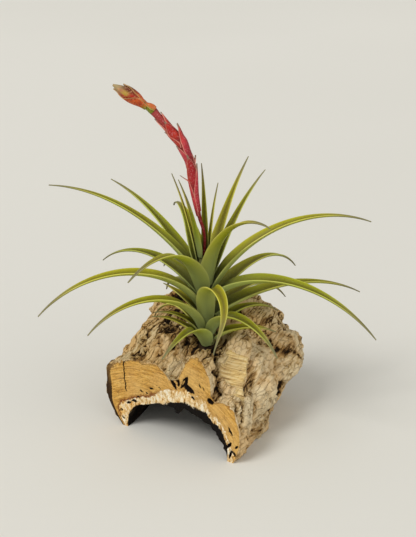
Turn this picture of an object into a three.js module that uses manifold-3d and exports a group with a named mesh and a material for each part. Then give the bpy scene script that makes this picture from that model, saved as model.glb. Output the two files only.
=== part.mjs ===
// A silvery bromeliad growing on an arch of cork bark, with its red flower spike.
// Millimetres, +Z up. X runs along the sawn face of the cork, Y back along its tunnel.
// The origin is on the ground, under the middle of the whole object's box.
import * as THREE from 'three';
import { mergeVertices } from 'three/addons/utils/BufferGeometryUtils.js';
import Module from 'manifold-3d';

const wasm = await Module();
wasm.setup();

// ---------------------------------------------------------------- sizes
const ORIGIN = [-68.2, -30.2, 0];      // moves the drawing's corner to the middle of the base
const DEPTH = 108;                     // cork, front face to back edge
const FACE_MIDDLE = [42, 10];          // x, z the bark's outline is measured round
const PLANT = [54.7, 29.6, 70];        // foot of the plant's stem on the cork
const SEAT_Z = 67.2;                   // flat of the cork under the glue
const VIEW_TURN = 38.4;                // leaf headings are counted from the viewer's right
const STEM_TOP = 66;                   // above the foot
const GAP = 0.3;                       // between pieces that touch

// ---------------------------------------------------------------- small helpers
const clamp = (x, a, b) => Math.min(b, Math.max(a, x));
const lerp = (a, b, k) => a + (b - a) * k;
const smooth = (a, b, x) => { const t = clamp((x - a) / (b - a), 0, 1); return t * t * (3 - 2 * t); };
const rad = (deg) => deg * Math.PI / 180;
const along = (x, table) => {          // straight lines between stations
  if (x <= table[0][0]) return table[0][1];
  for (let i = 1; i < table.length; i++) {
    if (x <= table[i][0]) {
      const [x0, y0] = table[i - 1], [x1, y1] = table[i];
      return lerp(y0, y1, (x - x0) / (x1 - x0));
    }
  }
  return table[table.length - 1][1];
};
const eased = (x, table) => {          // the same with a soft start and stop at each station
  if (x <= table[0][0]) return table[0][1];
  for (let i = 1; i < table.length; i++) {
    if (x <= table[i][0]) {
      const [x0, y0] = table[i - 1], [x1, y1] = table[i];
      return lerp(y0, y1, smooth(0, 1, (x - x0) / (x1 - x0)));
    }
  }
  return table[table.length - 1][1];
};
function lattice(i, j, k) {            // a repeatable number 0..1 for a grid point
  let h = (Math.imul(i, 374761393) + Math.imul(j, 668265263) + Math.imul(k, 2246822519)) | 0;
  h = Math.imul(h ^ (h >>> 13), 1274126177);
  h ^= h >>> 16;
  return (h >>> 0) / 4294967295;
}
function noise(x, y, z) {              // smooth relief, -1..1
  const i = Math.floor(x), j = Math.floor(y), k = Math.floor(z);
  const s = (t) => t * t * (3 - 2 * t);
  const a = s(x - i), b = s(y - j), c = s(z - k);
  let sum = 0;
  for (const p of [0, 1]) for (const q of [0, 1]) for (const r of [0, 1]) {
    sum += (p ? a : 1 - a) * (q ? b : 1 - b) * (r ? c : 1 - c) * lattice(i + p, j + q, k + r);
  }
  return sum * 2 - 1;
}
function merged(geometry) {            // one closed skin with shared corners
  const g = geometry.clone();
  g.deleteAttribute('normal');
  g.deleteAttribute('uv');
  return mergeVertices(g, 1e-4);
}
function moved(geometry, place) {      // every corner sent to a new place
  const g = merged(geometry);
  const p = g.attributes.position;
  for (let n = 0; n < p.count; n++) p.setXYZ(n, ...place(p.getX(n), p.getY(n), p.getZ(n)));
  return g;
}
function solid(geometry) {
  const g = geometry.index ? geometry : merged(geometry);
  return new wasm.Manifold(new wasm.Mesh({
    numProp: 3,
    vertProperties: new Float32Array(g.attributes.position.array),
    triVerts: new Uint32Array(g.index.array),
  }));
}
function geometryOf(manifold) {
  const mesh = manifold.getMesh();
  const g = new THREE.BufferGeometry();
  g.setAttribute('position', new THREE.BufferAttribute(new Float32Array(mesh.vertProperties), 3));
  g.setIndex(new THREE.BufferAttribute(new Uint32Array(mesh.triVerts), 1));
  return g;
}

// ---------------------------------------------------------------- materials
const BARK = new THREE.MeshStandardMaterial({ color: 0x9a7b52, roughness: 0.92, metalness: 0 });
const GLUE = new THREE.MeshStandardMaterial({ color: 0x6b4e30, roughness: 0.6, metalness: 0 });
const STEM = new THREE.MeshStandardMaterial({ color: 0x6f7a3a, roughness: 0.8, metalness: 0 });
const LEAF = new THREE.MeshStandardMaterial({ color: 0x8f9a3e, roughness: 0.7, metalness: 0 });
const RED = new THREE.MeshStandardMaterial({ color: 0xb9363a, roughness: 0.65, metalness: 0 });
const TIP = new THREE.MeshStandardMaterial({ color: 0xa8742c, roughness: 0.6, metalness: 0 });

const plant = new THREE.Group();
plant.name = 'bromeliad_on_cork';
plant.position.set(...ORIGIN);
function add(name, geometry, material) {
  const mesh = new THREE.Mesh(geometry, material);
  mesh.name = name;
  plant.add(mesh);
  return mesh;
}

// ---------------------------------------------------------------- the cork arch
// Outline of the sawn face: angle round FACE_MIDDLE (0 right, 180 left) and radius.
const FACE = [[-11, 53], [7, 59.4], [17, 61.7], [31, 64], [36, 61.5], [41, 52], [46.5, 52],
  [54.5, 62.5], [64, 70], [69, 72], [73, 66.5], [76.5, 56], [80, 44], [90, 40.5], [97, 47],
  [103, 51.5], [117, 54.5], [128, 61], [142, 66], [149, 68], [160, 65], [171, 62], [191, 50]];
// How the bark's box changes from the face (0) to the back.
const LEFT = [[0, -19], [35, -32], [75, -38], [108, -16]];
const RIGHT = [[0, 101], [45, 102.5], [80, 100], [108, 84]];
const TOP = [[0, 64], [28, 74], [60, 81], [88, 85], [108, 75]];
const TUCK_LEFT = [[0, 0.85], [60, 0.8], [108, 0.6]];
const TUCK_RIGHT = [[0, 1], [30, 0.89], [60, 0.73], [108, 0.45]];
// The tunnel: left wall, right wall and ceiling.
const HOLE_LEFT = [[0, -2], [40, -9], [108, 0]];
const HOLE_RIGHT = [[0, 89], [25, 82], [60, 62], [108, 44]];
const HOLE_TOP = [[0, 32], [108, 34]];
const HOLE_EDGE = [[0, 1], [0.12, 0.87], [0.33, 0.85], [0.5, 1], [1, 1]];  // share of that, left to right
// The ridge on the right, the gorge beside it, and the pale slice across the ridge: middle,
// outward direction, direction along it, half sizes.
const CREST = 8, GORGE = 8;
const SLICE = { at: [84, 26.5, 56], out: [0.68, -0.20, 0.705], run: [-0.30, 0.80, 0.516], half: [18, 12] };

function cork(u, v, w) {               // u left foot to right foot, v front to back, w in to out
  const angle = 191 - 202 * u, y = v * DEPTH;
  const c = Math.cos(rad(angle)), s = Math.sin(rad(angle));
  const left = eased(y, LEFT), right = eased(y, RIGHT), top = eased(y, TOP);
  const middle = (left + right) / 2;
  const power = c < 0 ? 2.9 : 2.3;
  let body = (Math.abs(2 * c / (right - left)) ** power
    + Math.abs(s / (top - FACE_MIDDLE[1])) ** power) ** (-1 / power);
  const waver = 6 * noise(0, y / 26, 3.3) + 4 * noise(angle / 30, y / 18, 9.1);
  body += 4.0 * noise(angle / 24, y / 24, 7.7)
    + 3.2 * noise((angle + waver) / 13, y / 55, 1.7)
    + 1.6 * noise((angle + 1.5 * waver) / 6, y / 22, 5.2);
  const crest = 1 - smooth(5, 12, Math.abs(angle - 34.5 - 0.52 * y));
  // furrows where the bark split as the trunk grew, shallower towards the back
  body -= (1 - 0.75 * smooth(66, 90, y)) * (1 - 0.9 * crest)
    * (5 * (1 - smooth(0, 0.24, Math.abs(noise((angle + waver) / 15, y / 42, 12.5))))
      + 2.5 * (1 - smooth(0, 0.3, Math.abs(noise(angle / 22, (y + waver) / 13, 21.5)))));
  body += CREST * crest * (1 - smooth(46, 58, y));
  const k = smooth(4, 34, y + 6 * noise(angle / 9, 2.2, 0.5));
  const face = along(angle + 0.1 * y * clamp((angle - 20) / 40, 0, 1), FACE);
  let r = lerp(face, body, k) + 4 * crest * smooth(3, 10, y) * (1 - smooth(18, 34, y));
  r -= GORGE * (1 - smooth(1, 6, Math.abs(angle - 48 - 0.9 * y))) * smooth(1, 8, y) * (1 - smooth(26, 40, y));
  const axis = lerp(FACE_MIDDLE[0], middle, k);
  let ox = axis + r * c;
  const oz = FACE_MIDDLE[1] + r * s;
  const tuck = eased(y, c > 0 ? TUCK_RIGHT : TUCK_LEFT);
  ox = axis + (ox - axis) * (1 - (1 - tuck) * (1 - smooth(0, 44, oz)) * k);
  // the tunnel's wall at the same station
  const hl = eased(y, HOLE_LEFT), hr = eased(y, HOLE_RIGHT), ht = eased(y, HOLE_TOP);
  const ic = Math.cos(Math.PI * (1 - u)), is = Math.sin(Math.PI * (1 - u));
  const ir = (Math.abs(ic) ** 2.6 + Math.abs(is) ** 2.6) ** (-1 / 2.6);
  const ix = (hl + hr) / 2 + (hr - hl) / 2 * ir * ic, iz = ht * ir * is * along(u, HOLE_EDGE);
  let x = lerp(ix, ox, w), z = Math.max(0, lerp(iz, oz, w));
  let yy = y + smooth(0.75, 1, v) * (5 * noise(angle / 18, w * 3, 4.4) - 6 * (1 - clamp(z / 40, 0, 1)));
  // feet: flat on the ground at both ends, just clear of it between
  if (u <= 0 || u >= 1) z = 1.4 * smooth(0.24, 0.34, v) * (1 - smooth(0.66, 0.76, v));
  // the slice
  const d = [x - SLICE.at[0], yy - SLICE.at[1], z - SLICE.at[2]];
  const dot = (a, b) => a[0] * b[0] + a[1] * b[1] + a[2] * b[2];
  const across = [SLICE.out[1] * SLICE.run[2] - SLICE.out[2] * SLICE.run[1],
    SLICE.out[2] * SLICE.run[0] - SLICE.out[0] * SLICE.run[2],
    SLICE.out[0] * SLICE.run[1] - SLICE.out[1] * SLICE.run[0]];
  const proud = dot(d, SLICE.out);
  const inside = (1 - smooth(SLICE.half[0] - 2, SLICE.half[0] + 5, Math.abs(dot(d, SLICE.run))))
    * (1 - smooth(SLICE.half[1] - 1, SLICE.half[1] + 5, Math.abs(dot(d, across))));
  const cut = Math.max(0, proud) * inside * smooth(0.5, 0.9, w);
  x -= SLICE.out[0] * cut; yy -= SLICE.out[1] * cut; z -= SLICE.out[2] * cut;
  // the flat under the glue
  const reach = Math.hypot(x - PLANT[0], yy - PLANT[1]);
  z = lerp(z, SEAT_Z, (1 - smooth(10, 17, reach)) * smooth(0.5, 0.9, w));
  return [x, yy, z];
}
add('cork_bark', moved(new THREE.BoxGeometry(1, 1, 1, 48, 23, 3),
  (x, y, z) => cork(x + 0.5, y + 0.5, z + 0.5)), BARK);

// ---------------------------------------------------------------- glue and stem
const disc = (profile, sides) => merged(new THREE.LatheGeometry(
  profile.map(([r, z]) => new THREE.Vector2(r, z)), sides)).rotateX(Math.PI / 2)
  .translate(PLANT[0], PLANT[1], 0);
add('glue_dab', disc([[0, SEAT_Z + GAP + 0.05], [6.4, SEAT_Z + GAP + 0.05], [6.9, SEAT_Z + 1.0], [5.9, PLANT[2] - GAP],
  [0, PLANT[2] - GAP]], 20), GLUE);
add('stem', disc([[0, 70], [4.8, 70], [5.1, 71.5], [4.75, 95], [4.15, 120], [3.6, 129], [3.0, 132.5],
  [2.1, PLANT[2] + STEM_TOP], [0, PLANT[2] + STEM_TOP]], 16), STEM);

// ---------------------------------------------------------------- leaves
// Each leaf leaves the stem at a height, heads away, and arches over as it goes:
// heading, height on the stem, length, width, rise, droop, where the droop sets in,
// sideways swing, swing back at the tip.
const LEAVES = [
  [50, 66, 64, 6, 88, 4, 1.6, 60], [137, 66, 54, 6, 82, 22, 1.6, 0],
  [224, 66, 48, 6.5, 85, 14, 1.6, -10], [16, 62, 55, 7, 84, 10, 1.5, 10],
  [168, 62, 64, 7, 82, 12, 1.6, -10], [118, 57, 60, 15, 66, 120, 3.5, -6],
  [58, 52, 92, 10, 58, 24, 1.0, 0], [174, 52.5, 123, 13.5, 57, 56, 1.35, -10],
  [48, 47, 90, 10, 55, 24, 1.3, -4], [312, 46, 97, 17, 84, 90, 1.1, -10],
  [135, 45, 103, 13, 59, 42, 1.0, 6], [2, 40, 130, 18, 60, 84, 1.1, 5],
  [243, 38.5, 103, 17, 80, 104, 0.95, -14], [148, 37.5, 92, 14, 49, 89, 1.15, -4],
  [78, 35, 84, 14, 47, 94, 1.1, 6], [335, 34, 131, 18, 50, 100, 0.76, 0],
  [40, 30, 100, 15, 36, 86, 1.3, 12], [198, 29.5, 128, 18, 65, 108, 0.85, -5],
  [112, 28, 90, 14, 43, 90, 1.1, -4], [150, 24, 34, 11, 42, 34, 1.2, -16],
  [12, 21, 117, 16, 28, 62, 1.1, 12], [90, 21, 84, 13, 44, 98, 1.0, 6],
  [271, 17.6, 112, 15.5, 84, 160, 1.1, 74, -172], [112, 17, 88, 13, 42, 94, 1.0, -4],
  [47, 15.4, 90, 14, 40, 94, 1.0, -4], [212, 12.8, 101, 17, 76, 118, 0.85, -10],
  [84, 11.8, 78, 12, 44, 90, 1.0, 4], [122, 8.4, 70, 12, 35, 88, 1.0, 8],
  [304, 9.5, 80, 15, 70, 128, 0.9, 14], [32, 9.5, 58, 13, 38, 78, 1.0, -6],
  [184, 5.5, 38, 10.5, 48, 40, 1.5, 10], [104, 2.4, 50, 13, 47, 74, 1.0, -6],
  [345, 4, 45, 13, 42, 62, 0.9, 4], [179, 9.3, 36, 10, 60, 66, 1.1, 0],
  [253, 1.0, 72, 15, 68, 98, 0.9, -24],
];
const STEM_REACH = [[0, 6.6], [50, 5.6], [60, 4.8], [68, 2.8]];       // where a leaf's middle starts
const WIDTH = [[0, 0.60], [0.05, 0.82], [0.11, 0.96], [0.17, 1], [0.3, 0.88], [0.5, 0.61],
  [0.7, 0.37], [0.85, 0.20], [0.95, 0.10], [1, 0.04]];                // share of the full width
const CUP = [[0, 66], [0.12, 60], [0.4, 50], [0.8, 58], [1, 64]];     // channel, degrees each side
const THICK = [[0, 1.5], [0.2, 1.3], [0.7, 1.1], [1, 0.8]];
const RINGS = 10, ACROSS = 4;

function leafFrame(leaf, rows) {       // middle line, direction, side and upper-face direction
  const [heading, height, length, , rise, droop, bend, swing, back = 0] = leaf;
  const elev = (t) => rad(rise - droop * t ** bend);
  const head = (t) => rad(heading + VIEW_TURN + swing * t ** 1.5 + back * t ** 4);
  const dir = (t) => new THREE.Vector3(Math.cos(elev(t)) * Math.cos(head(t)),
    Math.cos(elev(t)) * Math.sin(head(t)), Math.sin(elev(t)));
  const start = along(height, STEM_REACH), steps = 6;
  const point = new THREE.Vector3(PLANT[0] + start * Math.cos(head(0)),
    PLANT[1] + start * Math.sin(head(0)), PLANT[2] + height);
  const frames = [];
  for (let i = 0; i <= rows; i++) {
    const t = i / rows, T = dir(t);
    const S = new THREE.Vector3(-Math.sin(head(t)), Math.cos(head(t)), 0);
    frames.push({ t, P: point.clone(), S, N: new THREE.Vector3().crossVectors(T, S) });
    for (let k = 0; k < steps; k++) {
      point.addScaledVector(dir(t + (k + 0.5) / steps / rows), length / rows / steps);
    }
  }
  return frames;
}
function leafGeometry(leaf) {
  const frames = leafFrame(leaf, RINGS), slim = clamp(leaf[3] / 13, 0.55, 1);
  return moved(new THREE.BoxGeometry(1, 1, 1, ACROSS, 1, RINGS), (x, y, z) => {
    const f = frames[Math.round((z + 0.5) * RINGS)];
    const cup = rad(along(f.t, CUP)) * slim, width = along(f.t, WIDTH) * leaf[3];
    const q = 2 * x * cup, radius = width / 2 / cup;
    const half = Math.max(0.62, along(f.t, THICK) * Math.max(slim, 0.62) * (1 - 1.8 * x * x)) / 2;
    const up = Math.sign(y) * half;
    return f.P.clone()
      .addScaledVector(f.S, radius * Math.sin(q) - Math.sin(q) * up)
      .addScaledVector(f.N, radius * (1 - Math.cos(q)) + Math.cos(q) * up).toArray();
  });
}
LEAVES.forEach((leaf, i) => add(`leaf_${String(i + 1).padStart(2, '0')}`, leafGeometry(leaf), LEAF));

// ---------------------------------------------------------------- flower spike
// Stations up the stalk: distance, right of the stem's axis as the viewer sees it,
// height over the stem's foot, radius.
const STALK = [[0, 0.6, 66.3, 1.5], [11.5, 1.9, 77.5, 1.5], [20, 1.3, 85.5, 1.6], [27.5, -0.5, 93, 1.8],
  [44, -2.7, 109, 2.4], [58, -3.8, 123, 3.1], [68.5, -5, 133.5, 3.1], [75.5, -7.3, 140.3, 3.4],
  [83.5, -10.1, 147.4, 3.9], [90, -14.2, 152.3, 3.4], [97.5, -18.6, 158.4, 2.9],
  [106, -23.7, 164.9, 2.9], [112.4, -27.8, 170, 3.3], [117.3, -31.9, 172.6, 2.3],
  [124, -37.1, 177.3, 4], [132, -43.3, 181.9, 4.2], [139, -49, 185.8, 2.2],
  [142, -51.3, 187.3, 1]];
const PARTING = 110.5;                 // where the red stalk ends and the green and orange tip starts
const RIGHTWARD = new THREE.Vector3(Math.cos(rad(VIEW_TURN)), Math.sin(rad(VIEW_TURN)), 0);
const FORWARD = new THREE.Vector3(Math.sin(rad(VIEW_TURN)), -Math.cos(rad(VIEW_TURN)), 0);
function flowing(s, table, column) {   // a smooth curve through the stations, and its slope
  let i = 1;
  while (i < table.length - 1 && s > table[i][0]) i++;
  const slope = (j) => {
    const a = table[Math.max(0, j - 1)], b = table[Math.min(table.length - 1, j + 1)];
    return (b[column] - a[column]) / (b[0] - a[0]);
  };
  const [a, b] = [table[i - 1], table[i]], w = b[0] - a[0], k = (s - a[0]) / w;
  const m0 = slope(i - 1) * w, m1 = slope(i) * w, y0 = a[column], y1 = b[column];
  return [(2 * k ** 3 - 3 * k ** 2 + 1) * y0 + (k ** 3 - 2 * k ** 2 + k) * m0
    + (3 * k ** 2 - 2 * k ** 3) * y1 + (k ** 3 - k ** 2) * m1,
  ((6 * k ** 2 - 6 * k) * y0 + (3 * k ** 2 - 4 * k + 1) * m0
    + (6 * k - 6 * k ** 2) * y1 + (3 * k ** 2 - 2 * k) * m1) / w];
}
function stalkAt(s) {
  const [a, da] = flowing(s, STALK, 1), [h, dh] = flowing(s, STALK, 2), [r] = flowing(s, STALK, 3);
  const n = Math.hypot(da, dh);
  return {
    P: new THREE.Vector3(...PLANT).addScaledVector(RIGHTWARD, a).add(new THREE.Vector3(0, 0, h)),
    T: RIGHTWARD.clone().multiplyScalar(da / n).add(new THREE.Vector3(0, 0, dh / n)),
    R: RIGHTWARD.clone().multiplyScalar(dh / n).add(new THREE.Vector3(0, 0, -da / n)), r,
  };
}
function core(s0, s1, sides, rows) {
  return moved(new THREE.CylinderGeometry(1, 1, 1, sides, rows), (x, y, z) => {
    const f = stalkAt(lerp(s0, s1, y + 0.5)), r = Math.max(0.7, f.r - 0.5);
    return f.P.addScaledVector(FORWARD, z * r).addScaledVector(f.R, x * r).toArray();
  });
}
// Bracts: where it starts, heading round the stalk (0 to the viewer, 90 right), half spread,
// length along the stalk, free length of the point, angle the point stands off.
const BRACTS = [
  [30, -80, 85, 32, 7, 44], [33, 70, 85, 34, 20, 5], [42, -150, 85, 24, 8, 6],
  [50, 0, 80, 24, 4, 6], [49, 112, 80, 22.5, 5, 18], [60, 170, 80, 20, 3, 6],
  [64, -60, 80, 18, 3, 8], [72, 70, 80, 23, 10, 17], [80, -80, 75, 15, 2, 8],
  [86, 20, 75, 15, 2, 8], [93, -120, 75, 13, 2, 8], [95, 100, 75, 12, 1, 4],
];
const TIP_BRACTS = [
  [111, 80, 80, 9, 1.5, 5], [116, -40, 85, 15, 3, 12], [119, 120, 85, 17, 1.5, 3],
  [122, -130, 80, 18, 3, 4],
];
const SPREAD = [[0, 0.8], [0.2, 1], [0.5, 0.85], [0.75, 0.45], [0.9, 0.16], [1, 0.07]];
function bract([start, heading, spread, length, free, angle]) {
  const held = length - free;
  return moved(new THREE.BoxGeometry(1, 1, 1, 4, 1, 5), (x, y, z) => {
    const t = z + 0.5, run = t * length, past = Math.max(0, run - held);
    const f = stalkAt(start + Math.min(run, held));
    const q = rad(heading - 2 * x * spread * along(t, SPREAD));
    const thick = lerp(1.2, 0.7, Math.min(1, 2 * t));
    const r = f.r + 0.1 + 0.5 * t + (y > 0 ? 0 : -thick);
    const lean = past * Math.sin(rad(angle)), ahead = past * Math.cos(rad(angle));
    const out = FORWARD.clone().multiplyScalar(Math.cos(rad(heading))).addScaledVector(f.R, Math.sin(rad(heading)));
    return f.P.addScaledVector(FORWARD, r * Math.cos(q)).addScaledVector(f.R, r * Math.sin(q))
      .addScaledVector(out, lean).addScaledVector(f.T, ahead).toArray();
  });
}
function fused(body, bracts) {
  let whole = solid(body);
  for (const b of bracts) whole = whole.add(solid(bract(b)));
  return geometryOf(whole.decompose().reduce((a, b) => (b.volume() > a.volume() ? b : a)));
}
add('spike_stalk', fused(core(0.15, PARTING - GAP / 2, 8, 20), BRACTS), RED);
add('spike_tip', fused(core(PARTING + GAP / 2, 142, 9, 8), TIP_BRACTS), TIP);

export default plant;
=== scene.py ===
# %% [markdown]
# # A silvery bromeliad on an arch of cork bark
# The plant stands on a hollow piece of cork bark, sawn straight at the front. Its leaves are
# narrow channels that taper to a thread; a red spike leans out of the middle. This lesson dresses
# the plain solids of the frame: each leaf, bract and lump of bark gets a finer skin on the same
# form, then a material with the colour, bloom and relief of the real surface.

# %% Load the frame and keep its box
import bpy
import numpy as np
from math import cos, radians, sin
from mathutils import Matrix, Vector
from mathutils.noise import voronoi as nearest_middles


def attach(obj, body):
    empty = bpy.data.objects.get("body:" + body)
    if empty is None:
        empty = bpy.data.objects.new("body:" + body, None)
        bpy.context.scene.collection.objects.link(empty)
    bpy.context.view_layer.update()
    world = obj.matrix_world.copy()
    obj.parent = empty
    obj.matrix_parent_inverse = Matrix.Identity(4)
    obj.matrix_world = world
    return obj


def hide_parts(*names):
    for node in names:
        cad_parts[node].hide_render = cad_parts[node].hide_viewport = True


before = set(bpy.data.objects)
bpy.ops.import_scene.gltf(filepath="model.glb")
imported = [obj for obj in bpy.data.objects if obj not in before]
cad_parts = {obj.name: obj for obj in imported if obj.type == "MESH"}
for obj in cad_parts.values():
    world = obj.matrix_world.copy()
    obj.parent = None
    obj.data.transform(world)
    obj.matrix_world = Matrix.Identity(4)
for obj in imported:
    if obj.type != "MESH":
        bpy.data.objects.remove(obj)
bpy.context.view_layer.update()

# %% [markdown]
# The solids were drawn in millimetres from the left foot of the sawn face, then moved so that the
# origin lies under the middle. The same numbers are typed here, so that each finer piece falls
# exactly on its plain one. *smooth* grows from 0 to 1 between two values and *fade* shrinks from
# 1 to 0. The tables are rows of place and value.

# %% Sizes shared with the solids
MM = 0.001
ORIGIN = np.array([-68.2, -30.2, 0.0])
DEPTH = 108.0
PLANT = np.array([54.7, 29.6, 70.0])
VIEW_TURN = 38.4
SEAT_Z = 67.2
def metres(points):
    return (points + ORIGIN) * MM
def columns(*values):
    return np.stack(values, -1)
def smooth(a, b, x):
    t = np.clip((x - a) / (b - a), 0, 1)
    return t * t * (3 - 2 * t)
def fade(a, b, x):
    return 1 - smooth(a, b, x)
def along(x, table):
    table = np.array(table)
    return np.interp(x, table[:, 0], table[:, 1])
def eased(x, table):
    table = np.array(table)
    i = np.clip(np.searchsorted(table[:, 0], x) - 1, 0, len(table) - 2)
    a, b = table[i], table[i + 1]
    return a[..., 1] + (b[..., 1] - a[..., 1]) * smooth(a[..., 0], b[..., 0], x)
print("the stem's foot, in metres", metres(PLANT).round(4))

# %% [markdown]
# Bark has no straight line in it. Its lumps and cracks come from a repeatable value noise: a
# number for each point of a grid, blended smoothly between. Written in code rather than taken
# from a texture, it gives the same surface in the solid and in this finer skin.

# %% Value noise
def lattice(i, j, k):
    def u32(a):
        return a.astype(np.int64).astype(np.uint32)
    h = u32(i) * np.uint32(374761393) + u32(j) * np.uint32(668265263) + u32(k) * np.uint32(2246822519)
    h = (h ^ (h >> np.uint32(13))) * np.uint32(1274126177)
    return (h ^ (h >> np.uint32(16))) / 4294967295.0
def noise(x, y, z):
    x, y, z = np.broadcast_arrays(*(np.asarray(a, float) for a in (x, y, z)))
    i, j, k = np.floor(x), np.floor(y), np.floor(z)
    a, b, c = (f * f * (3 - 2 * f) for f in (x - i, y - j, z - k))
    total = 0
    for p in (0, 1):
        for q in (0, 1):
            for r in (0, 1):
                share = (a if p else 1 - a) * (b if q else 1 - b) * (c if r else 1 - c)
                total = total + share * lattice(i + p, j + q, k + r)
    return total * 2 - 1
def noise_at(points, size, shift=0):
    return noise(*(points / size + shift).T)
print("noise at two points", noise([1.3, 4.6], 2.2, 0.7).round(4))

# %% [markdown]
# The camera looks down a little from the right of the sawn face, through a long lens, and is
# tilted a few degrees, so that upright things lean to the left in the picture.

# %% Camera
PLACE = Vector((0.4264, -0.5512, 0.4070))
HEADING, PITCH, ROLL, LENS = radians(128.38), radians(21.706), radians(-3.324), 74
ahead = Vector((cos(HEADING) * cos(PITCH), sin(HEADING) * cos(PITCH), -sin(PITCH)))
sideways = Vector((sin(HEADING), -cos(HEADING), 0))
upright = sideways.cross(ahead)
right = sideways * cos(ROLL) + upright * sin(ROLL)
up = upright * cos(ROLL) - sideways * sin(ROLL)
bpy.ops.object.camera_add()
camera = bpy.context.object
camera.name = "camera"
camera.matrix_world = Matrix.Translation(PLACE) @ Matrix((right, up, -ahead)).transposed().to_4x4()
camera.data.lens = LENS
bpy.context.scene.camera = camera
print("camera", [round(c, 3) for c in camera.location])

# %% [markdown]
# Every finish starts from a Principled shader. *Nodes* holds one node tree and has a short word
# for each kind of node, so that a material reads like a recipe. An input takes a plain value or
# another node's output. *coats* lays colours one over another, each by its own share, as a
# painter would.

# %% Node helpers
class Nodes:
    def __init__(self, tree):
        self.tree = tree
    def feed(self, socket, value):
        if hasattr(value, "is_linked"):
            self.tree.links.new(value, socket)
        else:
            socket.default_value = (*value, 1) if socket.type == "RGBA" else value
    def put(self, kind, inputs=None, **settings):
        node = self.tree.nodes.new(kind)
        for key, value in settings.items():
            setattr(node, key, value)
        for key, value in (inputs or {}).items():
            self.feed(node.inputs[key], value)
        return node
    def read(self, name, output="Fac"):
        return self.put("ShaderNodeAttribute", attribute_name=name).outputs[output]
    def axes(self, vector):
        return self.put("ShaderNodeSeparateXYZ", {"Vector": vector}).outputs
    def turned(self, vector, **inputs):
        return self.put("ShaderNodeMapping", {"Vector": vector, **inputs}).outputs["Vector"]
    def grains(self, vector, scale, detail, roughness=0.6):
        inputs = {"Vector": vector, "Scale": scale, "Detail": detail, "Roughness": roughness}
        return self.put("ShaderNodeTexNoise", inputs).outputs["Fac"]
    def stretched(self, vector, stretch, scale, detail, roughness=0.6):
        return self.grains(self.turned(vector, Scale=stretch), scale, detail, roughness)
    def maths(self, operation, a, b=0.5):
        return self.put("ShaderNodeMath", {0: a, 1: b}, operation=operation).outputs[0]
    def plus(self, a, b):
        return self.maths("ADD", a, b)
    def minus(self, a, b):
        return self.maths("SUBTRACT", a, b)
    def times(self, a, b):
        return self.maths("MULTIPLY", a, b)
    def between(self, value, low, high, at_low, at_high):
        inputs = {"Value": value, "From Min": low, "From Max": high, "To Min": at_low, "To Max": at_high}
        return self.put("ShaderNodeMapRange", inputs, interpolation_type="SMOOTHSTEP").outputs["Result"]
    def rises(self, value, low, high, top=1.0):
        return self.between(value, low, high, 0.0, top)
    def falls(self, value, low, high, top=1.0):
        return self.between(value, low, high, top, 0.0)
    def ramp(self, value, *stops):
        node = self.put("ShaderNodeValToRGB", {"Fac": value})
        elements = node.color_ramp.elements
        elements[0].position, elements[1].position = stops[0][0], stops[-1][0]
        for position, *_ in stops[1:-1]:
            elements.new(position)
        for element, (_, *colour) in zip(elements, stops):
            element.color = (*colour, 1)
        return node.outputs["Color"]
    def mix(self, share, under, over, mode="MIX"):
        inputs = {0: share, 6: under, 7: over}
        return self.put("ShaderNodeMix", inputs, data_type="RGBA", blend_type=mode).outputs[2]
    def coats(self, body, *coats):
        for share, colour in coats:
            body = self.mix(share, body, colour)
        return body
    def tinted(self, share, body, tint):
        return self.mix(share, body, tint, "MULTIPLY")
    def use(self, group, **inputs):
        inputs["Vector"] = self.where
        return self.put("ShaderNodeGroup", inputs, node_tree=group.tree).outputs["Mask"]
    def colour(self, body):
        self.feed(self.shader["Base Color"], body)
    def bump(self, height, strength, distance):
        node = self.put("ShaderNodeBump", {"Height": height, "Strength": strength, "Distance": distance})
        self.feed(self.shader["Normal"], node.outputs["Normal"])
def finish(name, **values):
    material = bpy.data.materials.new(name)
    material.use_nodes = True
    made = Nodes(material.node_tree)
    made.material = material
    made.shader = material.node_tree.nodes["Principled BSDF"].inputs
    made.where = made.put("ShaderNodeTexCoord").outputs["Object"]
    for key, value in values.items():
        made.shader[key.replace("_", " ")].default_value = value
    return made

# %% [markdown]
# Two effects come back in several finishes, so each is a node group. *Specks* is a fine scatter
# of grains, as on sawn cork and on the scaly leaves. *Patches* is a slow drift of tone.

# %% Shader groups
def group(name, values):
    tree = bpy.data.node_groups.new(name, "ShaderNodeTree")
    tree.interface.new_socket("Vector", in_out="INPUT", socket_type="NodeSocketVector")
    for label, value in values.items():
        socket = tree.interface.new_socket(label, in_out="INPUT", socket_type="NodeSocketFloat")
        socket.default_value = value
    tree.interface.new_socket("Mask", in_out="OUTPUT", socket_type="NodeSocketFloat")
    made = Nodes(tree)
    return made, made.put("NodeGroupInput").outputs, made.put("NodeGroupOutput").inputs["Mask"]
specks, given, mask = group("specks", {"Scale": 1000.0, "Amount": 0.5})
grain = specks.grains(given["Vector"], given["Scale"], 3.0, 0.65)
specks.feed(mask, specks.times(specks.rises(grain, 0.5, 0.68), given["Amount"]))
patches, given, mask = group("patches", {"Scale": 60.0})
drift = patches.grains(given["Vector"], given["Scale"], 2.0, 0.5)
patches.feed(mask, patches.rises(drift, 0.36, 0.66))
def patchy(look, scale, amount=1.0):
    return look.times(look.use(patches, Scale=scale), amount)
def speckled(look, scale, amount):
    return look.use(specks, Scale=scale, Amount=amount)
print("groups", [g.name for g in bpy.data.node_groups])

# %% [markdown]
# The light is that of a bright room: a broad lamp high in front, a weaker one from the right, and
# a pale glow from all round. Past the end of the floor stands a plain pale wall. The floor is
# matt, and only a slow drift in tone keeps it from looking like paper.

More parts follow.
